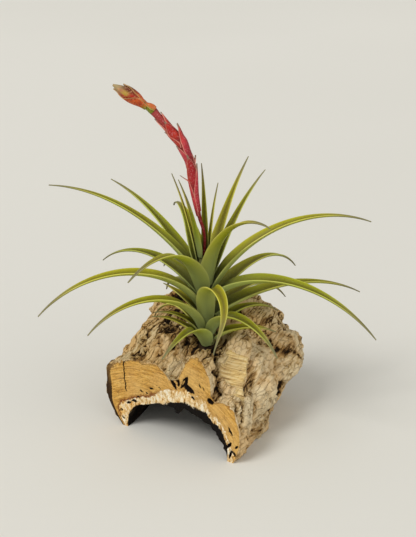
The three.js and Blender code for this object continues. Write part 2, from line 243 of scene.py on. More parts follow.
# %% Pale floor and soft light
def soft_sun(name, comes_from, strength, degrees, colour):
    bpy.ops.object.light_add(type="SUN", location=(0, 0, 1))
    lamp = bpy.context.object
    lamp.name = name
    lamp.rotation_euler = Vector(comes_from).to_track_quat("Z", "Y").to_euler()
    lamp.data.energy, lamp.data.angle, lamp.data.color = strength, radians(degrees), colour
soft_sun("key", comes_from=(-0.15, -0.75, 1.0), strength=1.6, degrees=26, colour=(1.0, 0.975, 0.93))
soft_sun("side", comes_from=(1.0, -0.1, 0.75), strength=0.55, degrees=50, colour=(1.0, 0.97, 0.93))
bpy.context.scene.view_settings.view_transform = "Standard"
world = bpy.data.worlds.new("studio")
bpy.context.scene.world = world
world.use_nodes = True
sky, ready = Nodes(world.node_tree), world.node_tree.nodes
glow = ready["Background"]
sky.feed(glow.inputs["Color"], (1.0, 0.985, 0.93))
sky.feed(glow.inputs["Strength"], 0.49)
wall = sky.put("ShaderNodeBackground", {"Color": (0.73, 0.72, 0.68)})
seen = sky.put("ShaderNodeLightPath").outputs["Is Camera Ray"]
either = sky.put("ShaderNodeMixShader", {0: seen, 1: glow.outputs[0], 2: wall.outputs[0]})
sky.feed(ready["World Output"].inputs["Surface"], either.outputs[0])
bpy.ops.mesh.primitive_plane_add(size=40, location=(0, 0, 0))
floor = bpy.context.object
floor.name = "floor"
matt = finish("pale_floor", Roughness=0.85, Specular_IOR_Level=0.2)
matt.colour(matt.mix(patchy(matt, 0.8), (0.715, 0.71, 0.675), (0.735, 0.73, 0.695)))
floor.data.materials.append(matt.material)
print("lamps, world and floor placed")

# %% [markdown]
# Most pieces start as a cube cut into a fine grid, whose corners are then sent to their places;
# the others start as a cylinder cut into rings. Cutting only the edges that run one way keeps the
# grid regular. An uncut edge measures one unit along its axis, and every other edge less than half.

# %% Blocks and cylinders cut into a grid
UNCUT = 0.5
def switch(mode):
    bpy.ops.object.mode_set(mode=mode)
def fetched(items, name, width, kind=float):
    values = np.empty(len(items) * width, kind)
    items.foreach_get(name, values)
    return values.reshape(-1, width)
def corners(obj):
    return fetched(obj.data.vertices, "co", 3)
def cut_along(obj, axis, cuts):
    switch("EDIT")
    bpy.ops.mesh.select_all(action="DESELECT")
    bpy.ops.mesh.select_mode(type="EDGE")
    switch("OBJECT")
    ends = corners(obj)[fetched(obj.data.edges, "vertices", 2, int)]
    obj.data.edges.foreach_set("select", np.abs(ends[:, 1] - ends[:, 0])[:, axis] > UNCUT)
    switch("EDIT")
    bpy.ops.mesh.subdivide(number_cuts=cuts)
    switch("OBJECT")
def cut_block(name, cells):
    bpy.ops.mesh.primitive_cube_add(size=1)
    block = bpy.context.object
    block.name = name
    for axis, count in enumerate(cells):
        if count > 1:
            cut_along(block, axis, count - 1)
    return block
def cut_cylinder(name, sides, rings):
    bpy.ops.mesh.primitive_cylinder_add(vertices=sides, radius=1, depth=1, end_fill_type="TRIFAN")
    cylinder = bpy.context.object
    cylinder.name = name
    cut_along(cylinder, 2, rings)
    return cylinder

# %% [markdown]
# The last steps are always the same. The corners are placed, values are noted on them for the
# material to read, and the piece is shaded smooth but for its sharp edges. Dressing gives it its
# material, lets it ride on the body and makes it stand for its plain solid.

# %% Placing, noting and dressing a piece
def only(obj):
    bpy.ops.object.select_all(action="DESELECT")
    obj.select_set(True)
    bpy.context.view_layer.objects.active = obj
def place(obj, points):
    obj.data.vertices.foreach_set("co", np.asarray(points, np.float32).ravel())
    obj.data.update()
def note(obj, **notes):
    for name, values in notes.items():
        values = np.asarray(values, np.float32)
        kind, field = ("FLOAT_VECTOR", "vector") if values.ndim == 2 else ("FLOAT", "value")
        obj.data.attributes.new(name, kind, "POINT").data.foreach_set(field, values.ravel())
def rounded(obj, degrees):
    only(obj)
    bpy.ops.object.shade_smooth_by_angle(angle=radians(degrees))
def dress(obj, look, node):
    obj.data.materials.clear()
    obj.data.materials.append(look.material)
    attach(obj, "root")
    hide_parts(node)

# %% [markdown]
# ## The cork
# Cork bark grows on the trunk in thick, cracked plates. This piece was a whole curl of bark cut
# across at one end: the sawn face is flat and orange, the outside is grey and furrowed, and the
# hollow underneath is dark. The plain solid already has its outline, ridges and furrows. Lengths
# are millimetres, and angles go round the sawn face from its right foot to its left one.

# %% The bark's own measures
LAST_ANGLE, SWEEP = 191, 202
FACE_MIDDLE = (42, 10)
FACE = [(-11, 53), (7, 59.4), (17, 61.7), (31, 64), (36, 61.5), (41, 52), (46.5, 52),
        (54.5, 62.5), (64, 70), (69, 72), (73, 66.5), (76.5, 56), (80, 44), (90, 40.5), (97, 47),
        (103, 51.5), (117, 54.5), (128, 61), (142, 66), (149, 68), (160, 65), (171, 62), (191, 50)]
LEFT = [(0, -19), (35, -32), (75, -38), (108, -16)]
RIGHT = [(0, 101), (45, 102.5), (80, 100), (108, 84)]
TOP = [(0, 64), (28, 74), (60, 81), (88, 85), (108, 75)]
TUCK_LEFT = [(0, 0.85), (60, 0.8), (108, 0.6)]
TUCK_RIGHT = [(0, 1), (30, 0.89), (60, 0.73), (108, 0.45)]
HOLE_LEFT = [(0, -2), (40, -9), (108, 0)]
HOLE_RIGHT = [(0, 89), (25, 82), (60, 62), (108, 44)]
HOLE_TOP = [(0, 32), (108, 34)]
HOLE_EDGE = [(0, 1), (0.12, 0.87), (0.33, 0.85), (0.5, 1), (1, 1)]
SQUARE_LEFT, SQUARE_RIGHT, SQUARE_HOLE = 2.9, 2.3, 2.6
CREST, GORGE = 8, 8
SLICE_AT = np.array([84.0, 26.5, 56.0])
SLICE_OUT = np.array([0.68, -0.20, 0.705])
SLICE_RUN = np.array([-0.30, 0.80, 0.516])
SLICE_ACROSS = np.cross(SLICE_OUT, SLICE_RUN)
SLICE_HALF = (18, 12)
KNOT = np.array([90.3, 63.8, 28.2])

# %% [markdown]
# A corner of the block has three numbers: *u* goes round from the left foot to the right one, *v*
# from the sawn face to the back, and *w* from the hollow to the outside. The outside is a rounded
# square with lumps and long furrows, and turns into the face's outline near the saw cut. A ridge
# with a gorge beside it runs back from the face, a slice is cut off the ridge, and the plant has
# a small flat seat.

# %% Where each corner of the bark lies
def wavering(angle, y):
    return 6 * noise(0, y / 26, 3.3) + 4 * noise(angle / 30, y / 18, 9.1)
def from_furrows(angle, y):
    waver = wavering(angle, y)
    return (np.abs(noise((angle + waver) / 15, y / 42, 12.5)),
            np.abs(noise(angle / 22, (y + waver) / 13, 21.5)))
def bark_form(u, v, w):
    angle, y = LAST_ANGLE - SWEEP * u, v * DEPTH
    c, s = np.cos(np.radians(angle)), np.sin(np.radians(angle))
    left, right, top = eased(y, LEFT), eased(y, RIGHT), eased(y, TOP)
    power = np.where(c < 0, SQUARE_LEFT, SQUARE_RIGHT)
    body = (np.abs(2 * c / (right - left)) ** power
            + np.abs(s / (top - FACE_MIDDLE[1])) ** power) ** (-1 / power)
    waver = wavering(angle, y)
    body += (4.0 * noise(angle / 24, y / 24, 7.7) + 3.2 * noise((angle + waver) / 13, y / 55, 1.7)
             + 1.6 * noise((angle + 1.5 * waver) / 6, y / 22, 5.2))
    crest = fade(5, 12, np.abs(angle - 34.5 - 0.52 * y))
    lengthwise, crosswise = from_furrows(angle, y)
    body -= (1 - 0.75 * smooth(66, 90, y)) * (1 - 0.9 * crest) * (
        5 * fade(0, 0.24, lengthwise) + 2.5 * fade(0, 0.3, crosswise))
    body += CREST * crest * fade(46, 58, y)
    k = smooth(4, 34, y + 6 * noise(angle / 9, 2.2, 0.5))
    face = along(angle + 0.1 * y * np.clip((angle - 20) / 40, 0, 1), FACE)
    r, axis = face + (body - face) * k, FACE_MIDDLE[0] + ((left + right) / 2 - FACE_MIDDLE[0]) * k
    r = r + 4 * crest * smooth(3, 10, y) * fade(18, 34, y)
    r = r - GORGE * fade(1, 6, np.abs(angle - 48 - 0.9 * y)) * smooth(1, 8, y) * fade(26, 40, y)
    ox, oz = axis + r * c, FACE_MIDDLE[1] + r * s
    tuck = np.where(c > 0, eased(y, TUCK_RIGHT), eased(y, TUCK_LEFT))
    ox = axis + (ox - axis) * (1 - (1 - tuck) * fade(0, 44, oz) * k)
    hl, hr, ht = eased(y, HOLE_LEFT), eased(y, HOLE_RIGHT), eased(y, HOLE_TOP)
    ic, i_s = np.cos(np.pi * (1 - u)), np.sin(np.pi * (1 - u))
    ir = (np.abs(ic) ** SQUARE_HOLE + np.abs(i_s) ** SQUARE_HOLE) ** (-1 / SQUARE_HOLE)
    ix, iz = (hl + hr) / 2 + (hr - hl) / 2 * ir * ic, ht * ir * i_s * along(u, HOLE_EDGE)
    x, z = ix + (ox - ix) * w, np.maximum(0, iz + (oz - iz) * w)
    y = y + smooth(0.75, 1, v) * (5 * noise(angle / 18, w * 3, 4.4) - 6 * (1 - np.clip(z / 40, 0, 1)))
    foot = (u <= 0) | (u >= 1)
    z = np.where(foot, 1.4 * smooth(0.24, 0.34, v) * fade(0.66, 0.76, v), z)
    return columns(x, y, z), foot
def from_plant(p):
    return np.hypot(p[:, 0] - PLANT[0], p[:, 1] - PLANT[1])
def bark_trim(p, w):
    d, outer_half = p - SLICE_AT, smooth(0.5, 0.9, w)
    inside = (fade(SLICE_HALF[0] - 2, SLICE_HALF[0] + 5, np.abs(d @ SLICE_RUN))
              * fade(SLICE_HALF[1] - 1, SLICE_HALF[1] + 5, np.abs(d @ SLICE_ACROSS)))
    cut = np.maximum(0, d @ SLICE_OUT) * inside * outer_half
    p = p - cut[:, None] * SLICE_OUT
    seat = fade(10, 17, from_plant(p)) * outer_half
    p[:, 2] += (SEAT_Z - p[:, 2]) * seat
    return p, cut, seat

# %% [markdown]
# The skin is a cube cut into small cells and bent round the hollow. Its first shape is the plain
# solid's. The next steps push each corner in or out along its normal, for plates, cracks and
# crumbs, and the push is noted later, so that the material can paint shade into the cracks.

# %% Bark skin
bark = cut_block("bark", (250, 150, 26))
u, v, w = (corners(bark) + 0.5).T
points, foot = bark_form(u, v, w)
points, cut, seat = bark_trim(points, w)
place(bark, points)
normal = fetched(bark.data.vertex_normals, "vector", 3)
print("bark corners", len(points))

# %% [markdown]
# Old cork breaks into plates, longer than they are wide, that follow the grain of the trunk. Here
# the grain climbs by twenty degrees towards the back. Each plate is the ground nearest to one of
# many scattered middles and stands at its own level. Where two middles are equally near, it cracks.

# %% Plates of the outer bark
LEAN = radians(20)
across, back, up = points.T
leaning = columns(across, back * cos(LEAN) + up * sin(LEAN), up * cos(LEAN) - back * sin(LEAN))
skin = np.flatnonzero(w > 0.88)
def plates(size, stretch, seed, bend=0.2):
    q = leaning[skin] / (size, size * stretch, size) + seed
    waves = columns(*(noise_at(q * 1.3, 1, shift) for shift in (1.5, 8.5, 15.5)))
    waves += 0.5 * columns(*(noise_at(q * 3.1, 1, shift) for shift in (4.5, 11.5, 19.5)))
    gap, level = np.zeros(len(w)), np.zeros(len(w))
    for n, spot in zip(skin, q + bend * waves):
        far, (middle, *_) = nearest_middles(Vector(spot))
        gap[n] = far[1] - far[0]
        level[n] = sin(7 * middle.x + 11 * middle.y + 5 * middle.z)
    return gap, level
gap, level = plates(size=9, stretch=3.4, seed=3.0)
gap_2, level_2 = plates(size=4.2, stretch=3.0, seed=9.0)
deep, split = fade(0.02, 0.17, gap), fade(0.02, 0.22, gap_2)
print("corners on plates", len(skin))

# %% [markdown]
# Between the plates run long fissures, and over all of it lie ridges along the grain, lumps,
# knobs and crumbs, each a noise of its own size. A knot has rotted out low on the right. The
# slice and the seat were cut with a knife, so they stay nearly smooth, and the right flank is
# calmer than the rest.

# %% Ridges, fissures and crumbs
drift = 0.6 * noise_at(points, 11)
lumps = noise_at(leaning, (5.5, 14, 5.5))
knobs, crumb = noise_at(points, (2.6, 3.6, 2.6)), noise_at(points, 1.5)
def grained(size, length, sway, shift=0):
    x, y, z = leaning.T
    return noise(x / size + sway, y / length + shift, z / size - sway)
ridges = grained(4.2, 22, drift) + 0.7 * grained(2.0, 12, -drift, 5)
fissure = fade(0.02, 0.15, np.abs(grained(12, 38, drift))) * smooth(-0.35, 0.15, noise_at(points, 19, 4.4))
knot = fade(3.5, 7, np.linalg.norm((points - KNOT) / (0.8, 1.3, 0.9), axis=1) + 2 * knobs)
sliced = np.clip(cut, 0, 1)
flank = smooth(0.58, 0.68, u) * fade(0.85, 1, v) * smooth(0.1, 0.2, v)
rough = (level * (1 - deep) + 0.25 * level_2 * (1 - split)
         + 0.6 * lumps + 1.7 * ridges + 0.2 * knobs + 0.2 * crumb
         - 3.0 * deep * smooth(-0.6, 0.2, lumps) - 0.8 * split * smooth(-0.7, 0.3, knobs)
         - 1.6 * fissure + 0.9)
rough = rough * (1 - 0.92 * sliced) * (1 - seat) * (1 - 0.4 * flank) - 3.5 * knot
chips = 0.7 * noise_at(points, 4.5) + 0.35 * knobs + 0.15 * crumb
outside = smooth(0.9, 0.97, w) * smooth(0, 0.012, v)
push = outside * rough + (1 - outside) * chips * fade(0, 0.06, w)
push = push * np.where(foot, 0, 1) * np.where(v <= 0, 0.1, 1)
points = points + normal * push[:, None]
print("pushed by", round(float(push.min()), 2), "to", round(float(push.max()), 2), "mm")

# %% [markdown]
# The saw left its own marks: a few chips and wormholes have broken out of the sawn face. Each is
# a dent with its centre across and up, half length, half width, turn and depth. Under the pale
# inner band the charred lining hangs in rags, drawn towards the middle of the hollow.

# %% Chips in the sawn face and the ragged lining
DENTS = [
    (1.6, 55.4, 3.0, 0.8, 40, 1.5), (44.6, 47.6, 4.6, 1.5, -60, 3), (49.4, 48.8, 4.0, 1.2, -62, 3),
    (55.8, 53.6, 2.6, 1.7, 70, 3), (57.6, 47.4, 4.8, 2.0, -22, 3), (76.5, 43, 2.6, 2.0, 10, 3),
    (14, 34, 0.9, 0.8, 0, 1.5), (10.4, 28.2, 1.1, 0.8, 20, 1.5), (19, 33, 0.7, 0.6, 0, 1),
    (24, 38.5, 1.4, 0.5, 5, 1), (33, 41, 1.6, 0.5, -10, 1), (62, 41, 1.6, 0.8, -30, 1.5),
    (66.5, 44, 1.2, 0.6, -50, 1.5), (70, 52, 2.2, 0.5, -30, 1), (93, 24, 3.2, 0.8, -60, 2),
    (91, 13, 3.0, 0.9, 50, 2.5), (95, 7, 3.4, 0.9, -40, 2.5), (91.5, 5.5, 2.6, 0.8, 70, 2.5),
    (97.5, 13, 1.6, 0.7, 30, 1.5), (-8, 12, 2.0, 0.7, 35, 1.5), (-6, 6, 1.6, 0.8, -20, 1.5),
    (0.5, 20.5, 2.4, 0.8, 25, 1.5), (6.5, 23.6, 2.2, 0.8, 15, 1.5)]
RAGS = [(0, 0), (0.1, 0.6), (0.3, 0.8), (0.40, 0.5), (0.43, 2.5), (0.47, 4), (0.52, 5.5), (0.545, 5.5),
        (0.565, 1.5), (0.585, 0.8), (0.6, 3), (0.66, 3.6), (0.71, 3), (0.735, 1), (0.76, 2.5),
        (0.8, 3.2), (0.85, 2.6), (0.88, 1), (0.9, 2), (0.93, 0.5), (0.96, 0)]
HOLLOW_MIDDLE = (46, -6)
sawn_x, _, sawn_z = points.T
dent, sunk = np.zeros(len(u)), np.zeros(len(u))
for x, z, long, wide, turn, depth in DENTS:
    c, s = cos(radians(turn)), sin(radians(turn))
    dx, dz = sawn_x - x, sawn_z - z
    away = np.hypot((dx * c + dz * s) / long, (dz * c - dx * s) / wide)
    here = np.where(v <= 0, fade(0.6, 1.5, away + 0.2 * noise(sawn_x / 1.6, 0, sawn_z / 1.6)), 0)
    dent, sunk = np.maximum(dent, here), np.maximum(sunk, here * depth)
points[:, 1] += sunk * fade(0.93, 1, w) * smooth(0, 0.05, w)
rag = along(u, RAGS) * (0.85 + 0.5 * noise(u * 60, v * 30, 2.5)) * fade(0.015, 0.06, v) * fade(0, 0.05, w)
rag = rag * smooth(1.5, 6, points[:, 2])
to_middle = columns(HOLLOW_MIDDLE[0] - points[:, 0], 0 * u, HOLLOW_MIDDLE[1] - points[:, 2])
points += to_middle / np.linalg.norm(to_middle, axis=1)[:, None] * rag[:, None]
points[:, 2] = np.where(foot, points[:, 2], np.maximum(points[:, 2], 0.0))
place(bark, metres(points))
rounded(bark, 75)
print("dents", len(DENTS), "deepest", round(float(sunk.max()), 1), "mm")

# %% [markdown]
# The material can't know where the saw went or which way the growth rings run, so each corner is
# told. *band* says how far it is above the dark lining and below the pale band's upper edge, and
# whether it lies in a dent. *grain* follows the rings, *cell* repeats its place in the block,
# *relief* is its height, which paints shade into the low places, less the painted shade of cracks,
# gorge and leaves, *pale* how much paler it is painted, most on the right flank as the light that
# falls there, and *sliced* whether the knife went through.

# %% What the finish needs to know of each corner
BAND_LOW = [(0, 0), (0.4, 0), (0.45, 0.02), (0.5, 0.06), (0.55, 0.14), (0.6, 0.07), (0.65, 0.10),
            (0.7, 0.20), (0.75, 0.12), (0.8, 0.16), (0.85, 0.1), (0.9, 0.12), (0.95, 0.06), (1, 0)]
BAND_HIGH = [(0, 0.5), (0.06, 0.55), (0.12, 0.42), (0.2, 0.17), (0.3, 0.13), (0.4, 0.19), (0.45, 0.34),
             (0.5, 0.58), (0.55, 0.52), (0.6, 0.27), (0.65, 0.30), (0.7, 0.44), (0.75, 0.36),
             (0.8, 0.26), (0.85, 0.24), (0.9, 0.3), (0.94, 0.5), (1, 0.85)]
RING_MIDDLE = (20, -58)
thick = 26 + 10 * np.cos(2 * np.pi * (u - 0.25))
band = columns((w - along(u, BAND_LOW)) * thick / 10, (along(u, BAND_HIGH) - w) * thick / 10, dent)
across, back, up = points.T
up_slope, over_slope = (points - SLICE_AT) @ SLICE_RUN, (points - SLICE_AT) @ SLICE_ACROSS
rings = np.hypot(across - RING_MIDDLE[0], up - RING_MIDDLE[1]) + 0.12 * np.maximum(0, 8 - across)
rings = np.where(cut > 0, up_slope + 0.2 * over_slope, rings)
angle, y = LAST_ANGLE - SWEEP * u, v * DEPTH
lengthwise, crosswise = from_furrows(angle, y)
furrow = np.maximum(fade(0, 0.2, lengthwise), 0.6 * fade(0, 0.22, crosswise))
gorge = fade(3, 8, np.abs(angle - 49 - 0.9 * y)) * smooth(0.5, 3, y) * fade(25, 38, y)
beside = (smooth(-17, -8, up_slope) * fade(6, 14, up_slope)
          * np.exp(-((over_slope + 13.5) / 2.5) ** 2) * (u > 0.55))
left_side = fade(0.62, 0.75, u)
# Painted shade: furrows, fissures, the gorge, a strip beside the slice and a ring round the plant's foot
# under its leaves are darkened; the knot and the back at the left are darker too.
dark = ((0.15 * furrow + 0.34 * fissure) * (1 - sliced) + 1.3 * knot + 0.95 * gorge + 0.16 * beside
        + 0.10 * smooth(0.5, 0.75, v) * left_side + 0.35 * fade(9, 19, from_plant(points)))
# Paler: painted light on the right flank, less so at the very back. It is darker at the left and towards
# the back at the left, with a pale patch behind the middle of the sawn face.
beside_face = np.exp(-((u - 0.465) / 0.06) ** 2 - ((v - 0.12) / 0.15) ** 2)
pale = (0.28 - 0.25 * fade(0.3, 0.42, u) + 0.52 * smooth(0.58, 0.70, u) * (1 - 0.5 * smooth(0.8, 1, v))
        - 0.45 * smooth(0.45, 0.7, v) * left_side + 0.75 * beside_face + 0.25 * noise_at(points, 17))
note(bark, band=band, grain=columns(rings, across, back) / 10, cell=columns(u, v * DEPTH / 100, w),
     relief=np.clip(1.0 + push / 5.4 - np.clip(dark, 0, 1), 0, 1), pale=np.clip(pale, 0, 1),
     sliced=sliced * fade(11, 15, up_slope + 2.5 * lumps))
print("bark box", np.ptp(points, axis=0).round(1))

# %% [markdown]
# Colour follows what the weather and the knife did. Outside, old cork is grey-brown, and its cracks
# are painted nearly black as shade. One number, the tone, sums up the relief with its painted
# shade, four lengthwise noises and a net of bent creases painted dark as shade, and picks the
# colour from a brown row or a paler one.

# %% Weathered bark
SOOT = (0.008, 0.006, 0.005)
cork = finish("cork_bark", Roughness=0.93, Specular_IOR_Level=0.12)
around, back, outer = cork.axes(cork.read("cell", "Vector"))
leaned = cork.turned(cork.where, Rotation=(-LEAN, 0.0, 0.0))
fibre = cork.stretched(leaned, (1.0, 0.32, 1.0), 300.0, 5.0, 0.75)
strand = cork.stretched(leaned, (1.0, 0.15, 1.0), 560.0, 3.0, 0.7)
streak = cork.stretched(leaned, (1.0, 0.2, 1.0), 170.0, 3.0)
sweep = cork.stretched(leaned, (1.0, 0.12, 1.0), 95.0, 4.0, 0.65)
swirl = cork.put("ShaderNodeTexNoise", {"Vector": cork.where, "Scale": 160.0, "Detail": 2.0})
swirl = {0: swirl.outputs["Color"], 1: (0.005, 0.005, 0.005), 2: leaned}
bent = cork.put("ShaderNodeVectorMath", swirl, operation="MULTIPLY_ADD").outputs["Vector"]
net = {"Vector": cork.turned(bent, Scale=(1.0, 0.2, 1.0)), "Scale": 230.0}
seam = cork.put("ShaderNodeTexVoronoi", net, feature="DISTANCE_TO_EDGE").outputs["Distance"]
creases = cork.falls(seam, 0.0, 0.085)
pale_and_lit = cork.read("pale")
# The relief brings painted shade: low places and the darkened cracks read darker.
tone = cork.read("relief")
for mark, share in ((fibre, 1.1), (strand, 1.2), (streak, 0.9)):
    tone = cork.plus(tone, cork.times(cork.minus(mark, 0.5), share))
# Painted shade: the net of creases is darkened, less where the bark is paler.
tone = cork.minus(tone, cork.times(creases, cork.between(pale_and_lit, 0.45, 0.8, 0.40, 0.18)))
tone = cork.minus(tone, cork.times(cork.rises(sweep, 0.52, 0.66), 0.34))
brown = cork.ramp(tone, (0.05, 0.008, 0.004, 0.002), (0.28, 0.045, 0.021, 0.007),
                  (0.42, 0.17, 0.092, 0.028), (0.58, 0.38, 0.24, 0.085),
                  (0.74, 0.56, 0.39, 0.17), (0.95, 0.74, 0.57, 0.31))
straw = cork.ramp(tone, (0.05, 0.014, 0.008, 0.004), (0.24, 0.11, 0.06, 0.022),
                  (0.38, 0.34, 0.215, 0.088), (0.52, 0.54, 0.37, 0.17),
                  (0.68, 0.70, 0.52, 0.28), (0.9, 0.90, 0.74, 0.48))
weathered = cork.mix(pale_and_lit, brown, straw)
weathered = cork.tinted(patchy(cork, 42.0, 0.5), weathered, (1.0, 0.74, 0.42))

# %% [markdown]
# The sawn face shows fresh orange-tan cork. Its growth lines follow the noted grain, with dark
# flecks and a scatter of brown pores.

# %% Sawn cork
grain = cork.read("grain", "Vector")
lines = cork.stretched(grain, (9.0, 0.7, 0.7), 1.0, 4.0)
ring = cork.maths("ABSOLUTE", cork.minus(cork.stretched(grain, (5.5, 0.45, 0.4), 1.0, 3.0), 0.5))
flecks = cork.rises(cork.stretched(grain, (14.0, 2.2, 2.0), 1.3, 2.0), 0.61, 0.68)
sawn = cork.ramp(lines, (0.32, 0.22, 0.09, 0.018), (0.40, 0.54, 0.27, 0.050),
                 (0.53, 0.76, 0.43, 0.095), (0.70, 0.90, 0.61, 0.21))
sawn = cork.coats(
    sawn,
    (patchy(cork, 70.0, 0.45), (0.76, 0.46, 0.16)),
    (cork.falls(ring, 0.0, 0.028, 0.6), (0.28, 0.11, 0.02)),
    (speckled(cork, 600.0, 0.35), (0.42, 0.19, 0.04)),
    (patchy(cork, 38.0, 0.35), (0.88, 0.60, 0.22)),
    (cork.times(flecks, 0.8), (0.12, 0.04, 0.01)))

# %% [markdown]
# Next to the hollow a pale, crumbly band runs round, golden in places and rusty above at the left,
# with a dark, ragged line under it. The outer margin is broken: dark at the left edge, worn into
# the bark elsewhere, with a brown line of painted shadow just inside it. The chips are painted
# nearly black inside, as shade. One long crack wanders down the left part. It is finer than the
# mesh, so it is drawn here, at its place in metres, as a line of painted shade.

# %% Bands, margin and crack of the sawn face
CRACK_X, CRACK_WANDER = -0.0690, 0.006
ragged = cork.times(cork.minus(cork.grains(cork.where, 380.0, 4.0, 0.7), 0.5), 0.75)
def frayed(value, share=1.0):
    return cork.plus(value, cork.times(ragged, share))
above_lining, below_edge, in_dent = cork.axes(cork.read("band", "Vector"))
below_edge = frayed(below_edge)
cream = cork.ramp(cork.stretched(cork.where, (1.0, 1.0, 0.5), 330.0, 5.0, 0.75),
                  (0.34, 0.07, 0.03, 0.01), (0.40, 0.50, 0.26, 0.07),
                  (0.48, 0.82, 0.60, 0.29), (0.58, 1.0, 0.93, 0.76))
golden = patchy(cork, 120.0, cork.between(around, 0.2, 0.5, 0.85, 0.35))
cream = cork.tinted(golden, cream, (0.95, 0.70, 0.32))
rust = cork.times(cork.rises(below_edge, -0.34, -0.04), cork.between(around, 0.36, 0.46, 0.95, 0.2))
broken = frayed(outer, 0.34)
worn = cork.times(cork.rises(broken, 0.95, 0.97), cork.rises(around, 0.2, 0.26))
margin = frayed(cork.plus(outer, cork.falls(around, 0.15, 0.24, 0.20)), 0.16)
margin = cork.times(cork.rises(margin, 0.965, 0.985), cork.between(around, 0.14, 0.26, 0.97, 0.30))
stands_x, _, stands_z = cork.axes(cork.where)
wander = cork.minus(cork.stretched(cork.where, (0.0, 0.0, 1.0), 210.0, 3.0, 0.7), 0.5)
off_crack = cork.plus(cork.minus(stands_x, CRACK_X), cork.times(wander, CRACK_WANDER))
# Painted shade: the crack is a dark line standing in for the shade inside it.
crack = cork.falls(cork.maths("ABSOLUTE", off_crack), 0.0004, 0.0008)
crack = cork.times(crack, cork.rises(stands_z, 0.029, 0.031))
crack = cork.times(crack, cork.falls(stands_z, 0.053, 0.055))
sawn = cork.coats(
    sawn,
    (rust, (0.20, 0.055, 0.015)),
    (cork.rises(below_edge, -0.03, 0.03), cream),
    (cork.falls(frayed(above_lining, 0.5), -0.02, 0.03), SOOT),
    # Painted shade: chips and wormholes are darkened nearly black inside.
    (cork.rises(frayed(in_dent), 0.28, 0.42), (0.010, 0.006, 0.004)),
    # Painted shadow: a brown line just inside the broken outer margin.
    (cork.rises(broken, 0.915, 0.95, 0.65), (0.17, 0.07, 0.018)),
    (worn, weathered),
    (margin, (0.03, 0.015, 0.008)),
    (crack, (0.012, 0.006, 0.003)))

# %% [markdown]
# The slice on the ridge is newer than the sawn face, so it is paler. The inside of the hollow is
# sooty. All of them are joined by where they lie, and a bump adds the fibres that the mesh is too
# coarse for, softer on the cut faces.

# %% Bark finish
fresh = cork.ramp(lines, (0.33, 0.20, 0.09, 0.022), (0.41, 0.66, 0.42, 0.14),
                  (0.5, 0.88, 0.65, 0.29), (0.70, 1.0, 0.84, 0.50))
fresh = cork.mix(patchy(cork, 90.0, 0.35), fresh, (0.46, 0.33, 0.19))
bare = frayed(cork.read("sliced"), 1.4)
on_face = cork.falls(back, 0.004, 0.012)
sooty = cork.mix(patchy(cork, 130.0), SOOT, (0.035, 0.022, 0.014))
in_hollow = cork.times(cork.falls(outer, 0.01, 0.05), cork.rises(back, 0.004, 0.012))
skin = cork.coats(weathered, (on_face, sawn), (cork.rises(bare, 0.32, 0.48), fresh), (in_hollow, sooty))
cork.colour(skin)
height = cork.minus(cork.plus(fibre, cork.times(strand, 0.4)), cork.times(creases, 0.45))
smooth_cut = cork.between(cork.maths("MAXIMUM", on_face, bare), 0.0, 1.0, 1.0, 0.25)
cork.bump(cork.times(height, smooth_cut), strength=0.9, distance=0.0024)
dress(bark, cork, "cork_bark")
print("bark nodes", len(cork.tree.nodes))

# %% [markdown]
# ## Stem and glue
# Almost hidden by the leaf bases, a short stem stands on a dab of glue, painted nearly black as the
# shade under the leaf bases. A cylinder drawn out to the stem's profile, with a ridge where each old
# leaf sat, is enough. The profiles are rows of height and radius.

# %% Stem and glue
STEM = [(70, 4.8), (71.5, 5.1), (95, 4.75), (120, 4.15), (129, 3.6), (132.5, 3.0), (136, 2.1)]
GLUE = [(67.55, 6.4), (68.2, 6.9), (68.9, 6.6), (69.7, 5.9)]
def turned_piece(name, profile, sides, rings, ripple):
    piece = cut_cylinder(name, sides, rings)
    x, y, z = corners(piece).T
    low, high = profile[0][0], profile[-1][0]
    z = low + (high - low) * (z + 0.5)
    angle = np.arctan2(y, x)
    r = along(z, profile) * np.hypot(x, y) * (1 - ripple * 0.5 * (1 + np.sin(z * 2.6 + 2.4 * angle)))
    place(piece, metres(columns(PLANT[0] + r * np.cos(angle), PLANT[1] + r * np.sin(angle), z)))
    rounded(piece, 60)
    return piece
stem = turned_piece("stem_skin", STEM, sides=32, rings=120, ripple=0.07)
glue = turned_piece("glue_skin", GLUE, sides=48, rings=8, ripple=0.05)
woody = finish("woody_stem", Roughness=0.8)
woody.colour(woody.mix(speckled(woody, 500.0, 0.8), (0.13, 0.14, 0.035), (0.34, 0.32, 0.16)))
# Painted shade: the glue is nearly black, as the shade under the leaf bases.
glue_as_shade = finish("glue_painted_as_shade", Roughness=0.85, Specular_IOR_Level=0.1)
glue_as_shade.colour(glue_as_shade.mix(patchy(glue_as_shade, 300.0), (0.020, 0.012, 0.007), (0.045, 0.026, 0.014)))
dress(stem, woody, "stem")
dress(glue, glue_as_shade, "glue_dab")
print("stem and glue made")

# %% [markdown]
# ## Leaves
# A leaf is a long channel: widest near the stem, then tapering evenly to a thread. It leaves the
# stem steeply and bends over under its own weight. One flat blank is cut once, and every leaf is
# a copy of it bent along its own line. The numbers are heading, height on the stem, length,
# width, climb, droop, where the droop sets in, swing to the side and swing back at the tip.

